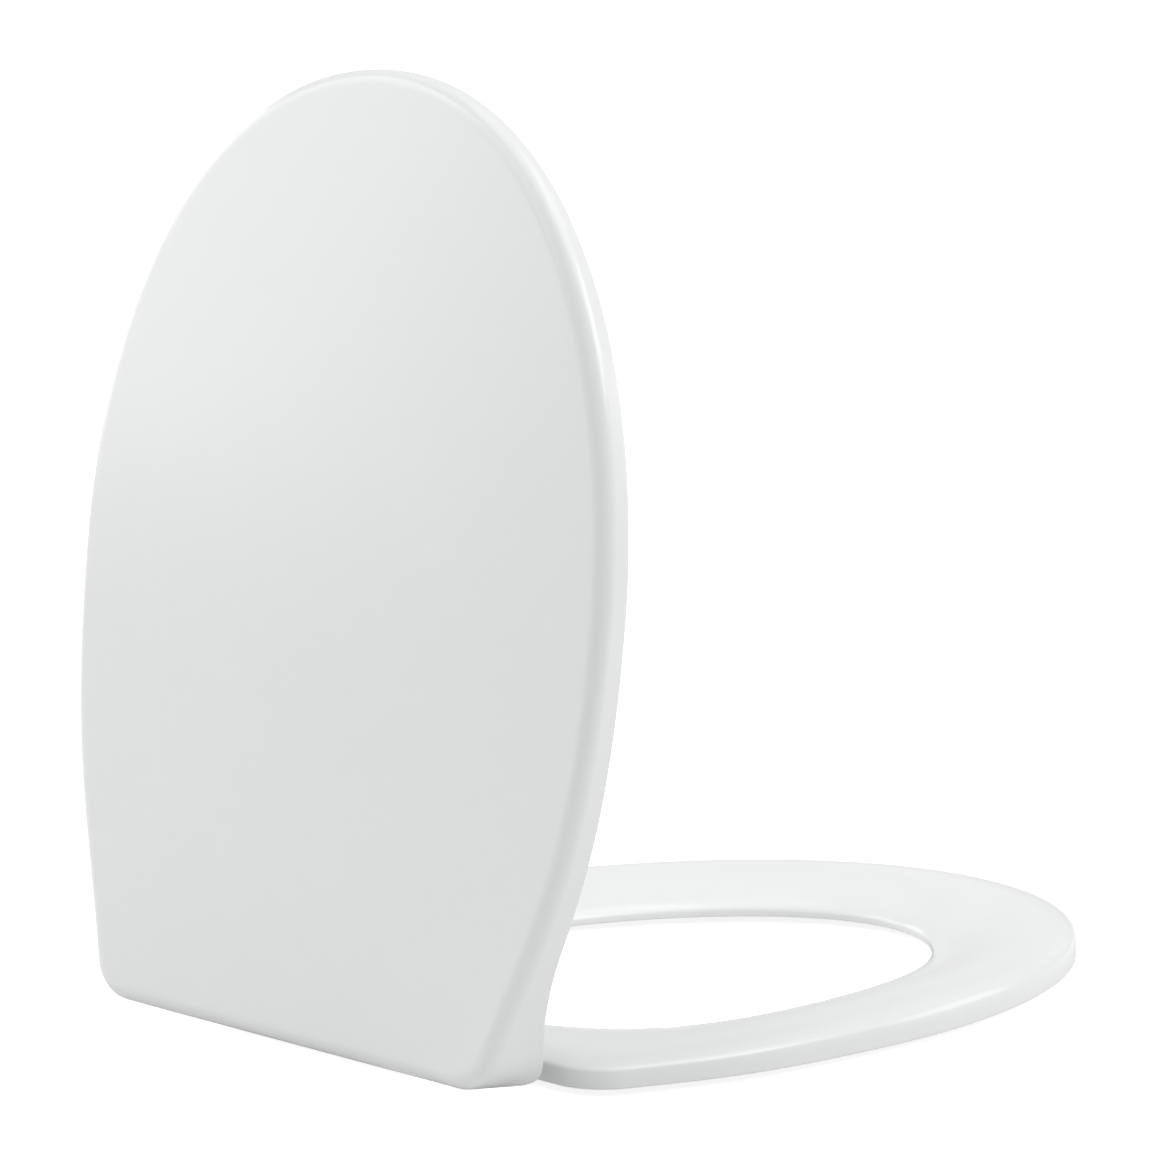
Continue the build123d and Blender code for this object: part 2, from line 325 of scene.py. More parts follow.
@dataclass(frozen=True)
class Oval:
    """The outline of the hole, wider in front than behind, in mm."""

    half_width: float
    front: float
    widest: float
    rear: float
    fullness: tuple[float, float, float, float]

    def quarters(self) -> tuple[Cubic, Cubic]:
        """The right-hand curves from the front to the widest point and on to the rear."""
        front_pull = self.fullness[1] * (self.front - self.widest)
        rear_pull = self.fullness[2] * (self.widest - self.rear)
        side = Vector((self.half_width, -self.widest))
        front = Cubic(
            Vector((0.0, -self.front)),
            Vector((self.fullness[0] * self.half_width, -self.front)),
            side - Vector((0.0, front_pull)),
            side,
        )
        rear = Cubic(
            side,
            side + Vector((0.0, rear_pull)),
            Vector((self.fullness[3] * self.half_width, -self.rear)),
            Vector((0.0, -self.rear)),
        )
        return front, rear

    def crossing(self, start: Vector, along: Vector) -> RimPoint:
        """Find where a line that runs inwards crosses the right half of the oval.

        Args:
            start: A point of the line.
            along: Its direction.

        Returns:
            The point, with the direction into the ring.
        """
        front, rear = self.quarters()
        low, high = 0.0, 2.0
        for _ in range(HALVINGS):
            middle = (low + high) / 2
            place = front.at(middle) if middle < 1 else rear.at(middle - 1)
            before = along.cross(place - start) > 0
            low, high = (middle, high) if before else (low, middle)
        curve, t = (front, low) if low < 1 else (rear, low - 1)
        return RimPoint(curve.at(t), -left_of(curve.heading(t)))


@dataclass(frozen=True)
class Roll:
    """How a top rolls over from its crown to a wall: an ellipse at 2 and 2, leaner below."""

    along: float
    up: float

    def at(self, turn: float) -> tuple[float, float]:
        """Follow the roll.

        Args:
            turn: 0 at the crown, 1 at the wall.

        Returns:
            How far out and how far up the place lies, as shares of the roll's own size.
        """
        angle = turn * pi / 2
        return sin(angle) ** (2 / self.along), cos(angle) ** (2 / self.up)


class LoopSkin:
    """A skin that is drawn out of one closed loop of points, edge loop by edge loop."""

    def __init__(self, name: str, points: Loop) -> None:
        """Start a skin from a ring of points.

        Args:
            name: The piece's name.
            points: The first loop, in metres.
        """
        rest_tools()
        bpy.ops.mesh.primitive_circle_add(vertices=len(points), radius=points[0].length)
        self.piece = bpy.context.object
        self.piece.name = name
        bpy.ops.object.mode_set(mode="EDIT")
        self.mesh = bmesh.from_edit_mesh(self.piece.data)
        self.loop = list(self.mesh.verts)
        self.first = points
        self._lay(points)

    def _lay(self, points: Loop) -> None:
        """Put the open loop on its points."""
        for vertex, point in zip(self.loop, points, strict=True):
            vertex.co = point

    def _pick_loop(self) -> None:
        """Select the open loop alone."""
        bpy.ops.mesh.select_all(action="DESELECT")
        for vertex in self.loop:
            vertex.select_set(True)
        self.mesh.select_flush(True)

    def draw(self, *loops: Loop) -> "LoopSkin":
        """Extrude the open loop to further ones.

        Args:
            loops: The loops that follow, in order, in metres.

        Returns:
            This skin.
        """
        for points in loops:
            self._pick_loop()
            bpy.ops.mesh.extrude_region_move()
            self.loop = [
                next(edge.other_vert(old) for edge in old.link_edges if edge.other_vert(old).select)
                for old in self.loop
            ]
            self._lay(points)
        return self

    def cap(self, counts: RimCounts, settle: Callable[[Vector], Vector]) -> "LoopSkin":
        """Fill the open loop with a grid of four-sided faces.

        Args:
            counts: How the loop is divided, which gives the corners of the grid.
            settle: Gives the true place of a point inside the loop.

        Returns:
            This skin.
        """
        self._pick_loop()
        rim = set(self.loop)
        before = set(self.mesh.verts)
        self.mesh.select_history.clear()
        self.mesh.select_history.add(self.loop[counts.grid_corner])
        bpy.ops.mesh.fill_grid(span=counts.grid_span, use_interp_simple=True)
        self.mesh = bmesh.from_edit_mesh(self.piece.data)
        for vertex in self.mesh.verts:
            if vertex not in before and vertex not in rim:
                vertex.co = settle(vertex.co)
        return self

    def back_to_start(self) -> "LoopSkin":
        """Turn back to the first loop, so that the skin can be drawn on from there."""
        self.mesh.verts.ensure_lookup_table()
        self.loop = [self.mesh.verts[i] for i in range(len(self.first))]
        return self

    def round_up(self) -> "LoopSkin":
        """Draw the last loop on to the first, so that the skin closes on itself."""
        return self.draw(self.first)

    def finish(self) -> bpy.types.Object:
        """Weld the skin, turn its faces outwards and leave edit mode.

        Returns:
            The finished piece.
        """
        bpy.ops.mesh.select_all(action="SELECT")
        bpy.ops.mesh.remove_doubles(threshold=MM / 1000)
        bpy.ops.mesh.normals_make_consistent(inside=False)
        bpy.ops.object.mode_set(mode="OBJECT")
        return self.piece


def rest_tools() -> None:
    """Leave edit mode and let go of everything."""
    if bpy.context.mode != "OBJECT":
        bpy.ops.object.mode_set(mode="OBJECT")
    bpy.ops.object.select_all(action="DESELECT")


def take(piece: bpy.types.Object) -> None:
    """Select one piece alone and make it the active one."""
    rest_tools()
    piece.select_set(True)
    bpy.context.view_layer.objects.active = piece


def block(low: Vector, high: Vector) -> bpy.types.Object:
    """Add a box.

    Args:
        low: Its lowest corner, in mm.
        high: Its highest corner, in mm.

    Returns:
        The box.
    """
    rest_tools()
    bpy.ops.mesh.primitive_cube_add(size=1, location=(low + high) / 2 * MM, scale=(high - low) * MM)
    bpy.ops.object.transform_apply(location=True, rotation=True, scale=True)
    return bpy.context.object


def rod(start: Vector, axis: Axis, radius: float, length: float, facets: int = 48) -> bpy.types.Object:
    """Add a round rod.

    Args:
        start: The middle of its first end, in mm.
        axis: The direction in which it lies.
        radius: Its radius, in mm.
        length: Its length, in mm.
        facets: How many flats its round has.

    Returns:
        The rod.
    """
    rest_tools()
    along = Vector((length / 2, 0, 0)) if axis is Axis.ALONG_PIN else Vector((0, 0, length / 2))
    bpy.ops.mesh.primitive_cylinder_add(
        vertices=facets,
        radius=radius * MM,
        depth=length * MM,
        location=(start + along) * MM,
        rotation=axis.value,
    )
    bpy.ops.object.transform_apply(location=True, rotation=True, scale=True)
    return bpy.context.object


def together(pieces: Sequence[bpy.types.Object]) -> bpy.types.Object:
    """Join several pieces into one object.

    Args:
        pieces: The pieces, which don't overlap.

    Returns:
        The one object.
    """
    take(pieces[0])
    for piece in pieces[1:]:
        piece.select_set(True)
    bpy.ops.object.join()
    return pieces[0]


def wrapped(*pieces: bpy.types.Object) -> bpy.types.Object:
    """Wrap several solids in one tight skin.

    Args:
        pieces: The solids to wrap.

    Returns:
        The wrapped solid.
    """
    solid = together(pieces)
    bpy.ops.object.mode_set(mode="EDIT")
    bpy.ops.mesh.select_all(action="SELECT")
    bpy.ops.mesh.convex_hull()
    bpy.ops.mesh.select_all(action="SELECT")
    bpy.ops.mesh.normals_make_consistent(inside=False)
    bpy.ops.object.mode_set(mode="OBJECT")
    return solid


def carve(piece: bpy.types.Object, tool: bpy.types.Object, how: Carve) -> bpy.types.Object:
    """Join, cut or trim a piece with another solid, which is used up.

    Args:
        piece: The piece that changes.
        tool: The other solid.
        how: What happens to the piece.

    Returns:
        The changed piece.
    """
    take(piece)
    step = piece.modifiers.new(how.name.lower(), "BOOLEAN")
    step.operation = how.value
    step.solver = "EXACT"
    step.object = tool
    bpy.ops.object.modifier_apply(modifier=step.name)
    bpy.data.objects.remove(tool)
    return piece


def mend(piece: bpy.types.Object) -> bpy.types.Object:
    """Weld what the cuts left too close together, divide many-sided faces and take off flaps.

    Args:
        piece: The piece that was carved.

    Returns:
        The piece, closed and without slivers.
    """
    take(piece)
    bpy.ops.object.mode_set(mode="EDIT")
    bpy.ops.mesh.select_mode(type="FACE")
    bpy.ops.mesh.select_all(action="SELECT")
    bpy.ops.mesh.remove_doubles(threshold=WELD)
    bpy.ops.mesh.dissolve_degenerate(threshold=WELD)
    bpy.ops.mesh.select_all(action="DESELECT")
    bpy.ops.mesh.select_face_by_sides(number=4, type="GREATER")
    bpy.ops.mesh.quads_convert_to_tris(ngon_method="BEAUTY")
    bpy.ops.mesh.select_all(action="DESELECT")
    mesh = bmesh.from_edit_mesh(piece.data)
    for face in mesh.faces:
        face.select_set(any(len(edge.link_faces) == 1 for edge in face.edges))
    bpy.ops.mesh.delete(type="FACE")
    bpy.ops.mesh.select_mode(type="VERT")
    bpy.ops.object.mode_set(mode="OBJECT")
    return piece


def polish(piece: bpy.types.Object) -> bpy.types.Object:
    """Smooth the shading of a piece, with its sharp edges kept.

    Args:
        piece: The piece to smooth.

    Returns:
        The piece.
    """
    take(piece)
    bpy.ops.object.shade_smooth_by_angle(angle=radians(CREASE))
    step = piece.modifiers.new("weighted_normals", "WEIGHTED_NORMAL")
    step.keep_sharp = True
    bpy.ops.object.modifier_apply(modifier=step.name)
    return piece


def arc(radius: float, first: float, last: float, pieces: int) -> list[tuple[float, float]]:
    """Divide a quarter turn or so.

    Args:
        radius: The arc's radius, in mm.
        first: The angle at its start, in radians.
        last: The angle at its end, in radians.
        pieces: How many chords it has.

    Returns:
        Steps from the arc's centre, (along, up), both ends included.
    """
    turns = [first + (last - first) * i / pieces for i in range(pieces + 1)]
    return [(radius * cos(turn), radius * sin(turn)) for turn in turns]


def between(first: Loop, last: Loop, pieces: int) -> list[Loop]:
    """Divide the way from one loop to another.

    Args:
        first: The loop to leave.
        last: The loop to reach.
        pieces: How many equal steps there are.

    Returns:
        The loops between the two, without them.
    """
    return [
        [a.lerp(b, i / pieces) for a, b in zip(first, last, strict=True)] for i in range(1, pieces)
    ]


def wear(piece: bpy.types.Object, finish: bpy.types.Material) -> None:
    """Cover a piece with one material."""
    piece.data.materials.clear()
    piece.data.materials.append(finish)


@dataclass(frozen=True)
class Wire:
    """A value on its way through a material's nodes, with Python's own arithmetic."""

    board: "NodeBoard"
    socket: bpy.types.NodeSocket

    def _sum(self, operation: str, first: "Wire | float", second: "Wire | float") -> "Wire":
        """Add one arithmetic node."""
        node = self.board.node("ShaderNodeMath", {"operation": operation}, {0: first, 1: second})
        return Wire(self.board, node.outputs[0])

    def __add__(self, other: "Wire | float") -> "Wire":
        """Add."""
        return self._sum("ADD", self, other)

    def __radd__(self, other: float) -> "Wire":
        """Add, from the other side."""
        return self._sum("ADD", other, self)

    def __sub__(self, other: "Wire | float") -> "Wire":
        """Take away."""
        return self._sum("SUBTRACT", self, other)

    def __rsub__(self, other: float) -> "Wire":
        """Take away, from the other side."""
        return self._sum("SUBTRACT", other, self)

    def __mul__(self, other: "Wire | float") -> "Wire":
        """Multiply."""
        return self._sum("MULTIPLY", self, other)

    def __rmul__(self, other: float) -> "Wire":
        """Multiply, from the other side."""
        return self._sum("MULTIPLY", other, self)


class NodeBoard:
    """The nodes of one material or of the room's light."""

    def __init__(self, owner: bpy.types.Material | bpy.types.World) -> None:
        """Open the owner's nodes.

        Args:
            owner: The material or the room whose nodes are laid.
        """
        owner.use_nodes = True
        self.tree = owner.node_tree
        self.owner = owner

    def node(
        self, kind: str, settings: Mapping[str, object], sockets: Mapping[str | int, object]
    ) -> bpy.types.Node:
        """Add a node.

        Args:
            kind: The node's type.
            settings: Its own options.
            sockets: What goes into its sockets, a wire or a constant.

        Returns:
            The node.
        """
        node = self.tree.nodes.new(kind)
        for name, value in settings.items():
            setattr(node, name, value)
        for name, value in sockets.items():
            self.plug(node.inputs[name], value)
        return node

    def plug(self, socket: bpy.types.NodeSocket, value: object) -> None:
        """Give a socket its wire or its constant."""
        if isinstance(value, Wire):
            self.tree.links.new(value.socket, socket)
        else:
            socket.default_value = value

    def shader(self, constants: Mapping[str, object]) -> bpy.types.Node:
        """The material's own shader, with its constants set.

        Args:
            constants: Values of the shader's sockets.

        Returns:
            The shader node.
        """
        node = next(n for n in self.tree.nodes if n.type == "BSDF_PRINCIPLED")
        for name, value in constants.items():
            node.inputs[name].default_value = value
        return node

    def place(self, stretch: tuple[float, float, float] = (1.0, 1.0, 1.0)) -> Wire:
        """The place on the piece, in metres.

        Args:
            stretch: How much the pattern is drawn together along each axis.

        Returns:
            The wire with that place.
        """
        spot = self.node("ShaderNodeTexCoord", {}, {})
        turned = self.node(
            "ShaderNodeMapping", {}, {"Vector": Wire(self, spot.outputs["Object"]), "Scale": stretch}
        )
        return Wire(self, turned.outputs[0])

    def clouds(self, place: Wire, per_metre: float, detail: float) -> Wire:
        """Soft uneven clouds round 0.5.

        Args:
            place: Where the pattern is read.
            per_metre: How many clouds lie in a metre.
            detail: How many finer layers they have.

        Returns:
            The wire with their strength.
        """
        noise = self.node(
            "ShaderNodeTexNoise", {}, {"Vector": place, "Scale": per_metre, "Detail": detail}
        )
        return Wire(self, noise.outputs[0])

    def tint(self, strength: Wire, low: Colour, high: Colour) -> Wire:
        """Blend two colours.

        Args:
            strength: 0 for the first colour, 1 for the second.
            low: The first colour.
            high: The second colour.

        Returns:
            The wire with the blended colour.
        """
        mix = self.node(
            "ShaderNodeMix", {"data_type": "RGBA"}, {0: strength, 6: (*low, 1.0), 7: (*high, 1.0)}
        )
        return Wire(self, mix.outputs[2])

    def relief(self, height: Wire, strength: float, depth: float) -> Wire:
        """Turn a height into a bent normal.

        Args:
            height: The pattern's height, from 0 to 1.
            strength: How strongly it shows.
            depth: Its real depth, in metres.

        Returns:
            The wire with the normal.
        """
        bump = self.node(
            "ShaderNodeBump", {}, {"Height": height, "Strength": strength, "Distance": depth}
        )
        return Wire(self, bump.outputs[0])


@dataclass(frozen=True)
class Moulding:
    """White moulded plastic: a hard shine with faint flow clouds and a trace of ripple."""

    name: str
    low: Colour
    high: Colour
    roughness: float
    ripple: float
    spread: float = 0.04
    depth: float = 0.1 * MM

    def material(self) -> bpy.types.Material:
        """Lay the finish's nodes."""
        board = NodeBoard(bpy.data.materials.new(self.name))
        shader = board.shader({"IOR": 1.52})
        place = board.place()
        flow = board.clouds(place, per_metre=9.0, detail=2.0)
        haze = board.clouds(place, per_metre=70.0, detail=3.0)
        ripple = board.clouds(place, per_metre=38.0, detail=1.0)
        colour = board.tint(flow * 0.7 + haze * 0.3, self.low, self.high)
        board.plug(shader.inputs["Base Color"], colour)
        board.plug(shader.inputs["Roughness"], haze * self.spread + (self.roughness - self.spread / 2))
        board.plug(shader.inputs["Normal"], board.relief(ripple, self.ripple, self.depth))
        return board.owner


@dataclass(frozen=True)
class TurnedMetal:
    """Metal from a lathe: fine rings round its axis, dulled a little."""

    name: str
    low: Colour
    high: Colour
    rings: tuple[float, float, float]
    roughness: float
    relief: float = 0.25
    depth: float = 0.05 * MM

    def material(self) -> bpy.types.Material:
        """Lay the finish's nodes."""
        board = NodeBoard(bpy.data.materials.new(self.name))
        shader = board.shader({"Metallic": 1.0})
        lines = board.clouds(board.place(self.rings), per_metre=60.0, detail=4.0)
        dulled = board.clouds(board.place(), per_metre=90.0, detail=3.0)
        board.plug(shader.inputs["Base Color"], board.tint(dulled, self.low, self.high))
        board.plug(shader.inputs["Roughness"], lines * 0.12 + dulled * 0.1 + (self.roughness - 0.11))
        board.plug(shader.inputs["Normal"], board.relief(lines, self.relief, self.depth))
        return board.owner


@dataclass(frozen=True)
class SoftRubber:
    """Soft dull rubber or plastic with a fine grain."""

    name: str
    low: Colour
    high: Colour
    roughness: float
    spread: float = 0.14
    relief: float = 0.35
    depth: float = 0.06 * MM

    def material(self) -> bpy.types.Material:
        """Lay the finish's nodes."""
        board = NodeBoard(bpy.data.materials.new(self.name))
        shader = board.shader({"IOR": 1.48})
        place = board.place()
        grain = board.clouds(place, per_metre=1400.0, detail=2.0)
        bloom = board.clouds(place, per_metre=120.0, detail=3.0)
        colour = board.tint(bloom * 0.8 + grain * 0.2, self.low, self.high)
        board.plug(shader.inputs["Base Color"], colour)
        board.plug(shader.inputs["Roughness"], bloom * self.spread + (self.roughness - self.spread / 2))
        board.plug(shader.inputs["Normal"], board.relief(grain, self.relief, self.depth))
        return board.owner


@dataclass(frozen=True)
class FloorPaint:
    """Pale floor paint that is lit from within, like a light table."""

    name: str
    low: Colour
    high: Colour
    glow: float

    def material(self) -> bpy.types.Material:
        """Lay the finish's nodes."""
        board = NodeBoard(bpy.data.materials.new(self.name))
        glow = {"Emission Color": (1.0, 1.0, 1.0, 1.0), "Emission Strength": self.glow}
        shader = board.shader({"Roughness": 0.9, "Specular IOR Level": 0.1, **glow})
        clouds = board.clouds(board.place(), per_metre=3.0, detail=2.0)
        board.plug(shader.inputs["Base Color"], board.tint(clouds, self.low, self.high))
        return board.owner


WHITE_MOULDING = Moulding("white_moulding", (0.765, 0.775, 0.775), (0.785, 0.793, 0.79), 0.2, 0.1)
HINGE_PLASTIC = Moulding("hinge_plastic", (0.73, 0.74, 0.74), (0.76, 0.766, 0.764), 0.38, 0.3)
PIN_STEEL = TurnedMetal("pin_steel", (0.5, 0.51, 0.53), (0.63, 0.64, 0.65), (40.0, 1.0, 1.0), 0.3)
INSERT_BRASS = TurnedMetal(
    "insert_brass", (0.55, 0.38, 0.14), (0.72, 0.53, 0.24), (1.0, 1.0, 40.0), 0.34
)
BUSH_PLASTIC = SoftRubber("bush_plastic", (0.5, 0.51, 0.51), (0.58, 0.585, 0.58), 0.5)
GASKET_RUBBER = SoftRubber("gasket_rubber", (0.03, 0.03, 0.032), (0.055, 0.055, 0.056), 0.75)
BUFFER_RUBBER = SoftRubber("buffer_rubber", (0.6, 0.61, 0.6), (0.66, 0.665, 0.655), 0.62)
PALE_FLOOR = FloorPaint("floor_paint", (0.79, 0.79, 0.79), (0.81, 0.81, 0.81), 0.85)
FINISHES = (
    WHITE_MOULDING,
    HINGE_PLASTIC,
    PIN_STEEL,
    INSERT_BRASS,
    BUSH_PLASTIC,
    GASKET_RUBBER,
    BUFFER_RUBBER,
)


@dataclass(frozen=True)
class PinLine:
    """The line on which the lid and the ring swing, and what sits along it, in mm."""

    behind_bolt: float = 16.0
    height: float = 16.0
    post_middle: float = 77.5
    post_width: float = 24.0
    post_clearance: float = 1.2
    foot_front: float = 12.0
    lug_radius: float = 7.5
    lug_width: float = 12.0
    lid_lug: float = 52.0
    ring_lug: float = 91.0
    bore_radius: float = 5.25

    @property
    def middle(self) -> Vector:
        """The point of the pin line on the seat's middle plane."""
        return Vector((0.0, self.behind_bolt, self.height))

    @property
    def notch_half(self) -> float:
        """Half the width of the gap round a post."""
        return self.post_width / 2 + self.post_clearance

    def lug_start(self, inner_face: float, side: Side) -> float:
        """Where a lug starts along X.

        Args:
            inner_face: The distance of its inner face from the middle.
            side: The side on which it is.

        Returns:
            The lower of its two X places.
        """
        return inner_face if side is Side.RIGHT else -inner_face - self.lug_width


@dataclass
class Lid:
    """The lid: a bowed wedge shell whose skirt deepens towards the rear, in mm.

    It is drawn closed, with the pin line as its X axis, and then swung up.
    """

    pins: PinLine
    raised: float = 83.5
    skirt_line: float = 11.5
    reach: float = 428.0
    behind_pin: float = 12.0
    face_pulls: tuple[float, float, float, float] = (6.6, 23.3, 6.7, 25.7)
    face_room: float = 20.0
    rear_drop: float = 19.5
    drop_length: float = 66.0
    foot_round: float = 8.0
    shoulder: float = 7.5
    shoulder_chords: int = 12
    hollow_chords: int = 7
    core_chords: int = 6
    face_steps: tuple[float, float] = (1.5, 5.0)
    core_step: float = 2.0
    core_foot: float = -50.0
    wall: float = 3.5
    face: float = 4.0
    lip: float = 0.9
    lip_chords: int = 4
    lug_front: float = 14.0
    lug_rear: float = 10.0
    lug_flare: float = 15.0
    lug_top: float = 60.0
    notch_foot: float = -60.0
    notch_margin: float = 2.5
    boss_radius: float = 7.0
    boss_length: float = 40.0
    boss_foot: float = 9.3
    stem_radius: float = 2.5
    stem_length: float = 5.0
    buffer_place: float = 0.5
    buffer_inset: float = 14.0
    outline: SquareEnded = field(
        default_factory=lambda: SquareEnded(
            half_width=180.0,
            tip=428.0,
            widest=195.0,
            rear=12.0,
            rear_half=134.0,
            splay=18.0,
            corner=24.0,
            fullness=(0.626, 0.549, 0.499, 0.375),
        )
    )

    def face_height(self, along: float) -> float:
        """The height of the bowed face over the pin line.

        Args:
            along: The distance behind the pin line.

        Returns:
            The face's height there.
        """
        start = -self.reach - self.face_room
        run = self.reach + self.behind_pin + 2 * self.face_room
        t = (along - start) / run
        pulls = [Vector((0.0, pull)) for pull in self.face_pulls]
        return self.skirt_line + Cubic(*pulls).at(t).y

    def foot_height(self, along: float) -> float:
        """The height of the skirt's foot over the pin line.

        Args:
            along: The distance behind the pin line.

        Returns:
            The foot's height there.
        """
        past = max(0.0, along - (self.behind_pin - self.drop_length))
        turned = min(self.foot_round, max(0.0, along - (self.behind_pin - self.foot_round)))
        lifted = self.foot_round - sqrt(self.foot_round**2 - turned**2)
        return self.skirt_line - self.rear_drop * (past / self.drop_length) ** 2 + lifted

    def spot(self, point: RimPoint, depth: float, height: float) -> Vector:
        """A place on the lid, in metres.

        Args:
            point: The point of the outline.
            depth: How far it lies inside the outline.
            height: Its height over the pin line.

        Returns:
            The place.
        """
        place = point.inset(depth)
        return Vector((place.x, place.y, height)) * MM

    def face_loop(self, depth: float, lowered: float) -> Loop:
        """A loop on the face or on its underside.

        Args:
            depth: How far it lies inside the outline.
            lowered: How far it lies under the face.

        Returns:
            The loop.
        """
        return [
            self.spot(point, depth, self.face_height(point.inset(depth).y) - lowered)
            for point in self.outline.rim()
        ]

    def shoulder_loops(self, inset: float, lowered: float, pieces: int) -> list[Loop]:
        """The rounded shoulder, from the face to the wall.

        Args:
            inset: How far its wall lies inside the outline.
            lowered: How far its face lies under the outer one.
            pieces: How many chords the round has.

        Returns:
            Its loops, outwards and down.
        """
        radius = self.shoulder - inset
        loops: list[Loop] = [[] for _ in range(pieces + 1)]
        for point in self.outline.rim():
            over = self.face_height(point.inset(self.shoulder).y) - lowered
            ahead = self.face_height(point.inset(self.shoulder + 1).y) - lowered
            tilt = atan(ahead - over)
            centre = over - radius / cos(tilt)
            for loop, (along, up) in zip(loops, arc(radius, pi / 2 + tilt, pi, pieces)):
                loop.append(self.spot(point, self.shoulder + along, centre + up))
        return loops

    def foot_loop(self, depth: float, rise: float) -> Loop:
        """A loop near the skirt's foot.

        Args:
            depth: How far it lies inside the outline.
            rise: How far it lies over the foot.

        Returns:
            The loop.
        """
        return [
            self.spot(point, depth, self.foot_height(point.place.y) + rise)
            for point in self.outline.rim()
        ]

    def lip_loops(self) -> list[Loop]:
        """The rounded foot of the skirt, from the outer wall to the inner one."""
        outer = arc(self.lip, pi, 3 * pi / 2, self.lip_chords)
        inner = arc(self.lip, 3 * pi / 2, 2 * pi, self.lip_chords)
        outside = [self.foot_loop(self.lip + along, self.lip + up) for along, up in outer]
        inside = [self.foot_loop(self.wall - self.lip + along, self.lip + up) for along, up in inner]
        return outside + inside

    def settled(self, lowered: float) -> Callable[[Vector], Vector]:
        """Make the rule that puts a point on the face.

        Args:
            lowered: How far it lies under the outer face.

        Returns:
            The rule, in metres.
        """

        def settle(point: Vector) -> Vector:
            """Put one point on the face."""
            return Vector((point.x, point.y, (self.face_height(point.y / MM) - lowered) * MM))

        return settle

    def shell(self, name: str) -> bpy.types.Object:
        """Draw the moulded shell.

        Args:
            name: The piece's name.

        Returns:
            The shell, closed.
        """
        counts = self.outline.counts
        outer = self.shoulder_loops(0.0, 0.0, self.shoulder_chords)
        inner = self.shoulder_loops(self.wall, self.face, self.hollow_chords)
        lips = self.lip_loops()
        near, far = (self.shoulder + step for step in self.face_steps)
        skin = LoopSkin(name, self.face_loop(far, 0.0))
        skin.draw(self.face_loop(near, 0.0), *outer)
        skin.draw(*between(outer[-1], lips[0], 4), *lips)
        skin.draw(*between(lips[-1], inner[-1], 3), *reversed(inner))
        skin.draw(self.face_loop(near, self.face), self.face_loop(far, self.face))
        skin.cap(counts, self.settled(self.face))
        skin.back_to_start().cap(counts, self.settled(0.0))
        return skin.finish()

    def core(self) -> bpy.types.Object:
        """A solid that ends halfway through the shell's walls, to trim what stands inside."""
        counts = self.outline.counts
        loops = self.shoulder_loops(self.wall / 2, self.face / 2, self.core_chords)
        foot = [Vector((p.x, p.y, self.core_foot * MM)) for p in loops[-1]]
        skin = LoopSkin("lid_core", self.face_loop(self.shoulder + self.core_step, self.face / 2))
        skin.draw(*loops, foot)
        skin.cap(counts, lambda point: point)
        skin.back_to_start().cap(counts, self.settled(self.face / 2))
        return skin.finish()

    def buffer_spots(self, ring: SquareEnded) -> list[Vector]:
        """Where the two buffers sit, over the crest of the ring.

        Args:
            ring: The ring's outline.

        Returns:
            The two places, seen from above.
        """
        crest = replace(
            ring, half_width=ring.half_width - self.buffer_inset, tip=ring.tip - self.buffer_inset
        )
        spot = crest.front_curve().at(self.buffer_place)
        return [Vector((side.value * spot.x, spot.y, 0.0)) for side in Side]

    def fittings(self, ring: SquareEnded) -> bpy.types.Object:
        """The hinge lugs and the buffer bosses, trimmed inside the shell's walls.

        Args:
            ring: The ring's outline, which places the buffers.

        Returns:
            All of them, as one object.
        """
        pins = self.pins
        solids = []
        for side in Side:
            start = pins.lug_start(pins.lid_lug, side)
            barrel = rod(Vector((start, 0, 0)), Axis.ALONG_PIN, pins.lug_radius, pins.lug_width)
            flare = block(
                Vector((start, -self.lug_front, self.lug_flare)),
                Vector((start + pins.lug_width, self.lug_rear, self.lug_top)),
            )
            solids.append(wrapped(barrel, flare))
        for spot in self.buffer_spots(ring):
            foot = spot + Vector((0, 0, self.boss_foot))
            solids.append(rod(foot, Axis.UPRIGHT, self.boss_radius, self.boss_length))
        return carve(together(solids), self.core(), Carve.KEEP)

    def cuts(self, ring: SquareEnded) -> bpy.types.Object:
        """The gaps round the posts, the bores of the lugs and the seats of the buffers' stems.

        Args:
            ring: The ring's outline, which places the buffers.

        Returns:
            All of them, as one object.
        """
        pins = self.pins
        top = self.skirt_line + self.face_pulls[-1] - self.shoulder - self.notch_margin
        solids = []
        for side in Side:
            middle = side.value * pins.post_middle
            solids.append(
                block(
                    Vector((middle - pins.notch_half, 0.0, self.notch_foot)),
                    Vector((middle + pins.notch_half, 2 * self.behind_pin, top)),
                )
            )
            start = pins.lug_start(pins.lid_lug, side) - OVERCUT
            length = pins.lug_width + 2 * OVERCUT
            solids.append(rod(Vector((start, 0, 0)), Axis.ALONG_PIN, pins.bore_radius, length))
        for spot in self.buffer_spots(ring):
            foot = spot + Vector((0, 0, self.boss_foot - OVERCUT))
            length = self.stem_length + OVERCUT
            solids.append(rod(foot, Axis.UPRIGHT, self.stem_radius, length, STEM_FACETS))
        return together(solids)

    def build(self, ring: SquareEnded) -> bpy.types.Object:
        """Model the lid and swing it up.

        Args:
            ring: The ring's outline, which places the buffers.

        Returns:
            The finished piece.
        """
        piece = self.shell("lid_shell")
        carve(piece, self.fittings(ring), Carve.JOIN)
        carve(piece, self.cuts(ring), Carve.CUT)
        to_pins = Matrix.Translation(self.pins.middle * MM)
        piece.data.transform(to_pins @ Matrix.Rotation(-radians(self.raised), 4, "X"))
        return polish(mend(piece))

    def dress(self, piece: bpy.types.Object, finish: bpy.types.Material) -> None:
        """Give the lid its finish and its place in the part.

        Args:
            piece: The lid.
            finish: Its material.
        """
        wear(piece, finish)
        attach(piece, "lid")
        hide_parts("lid")


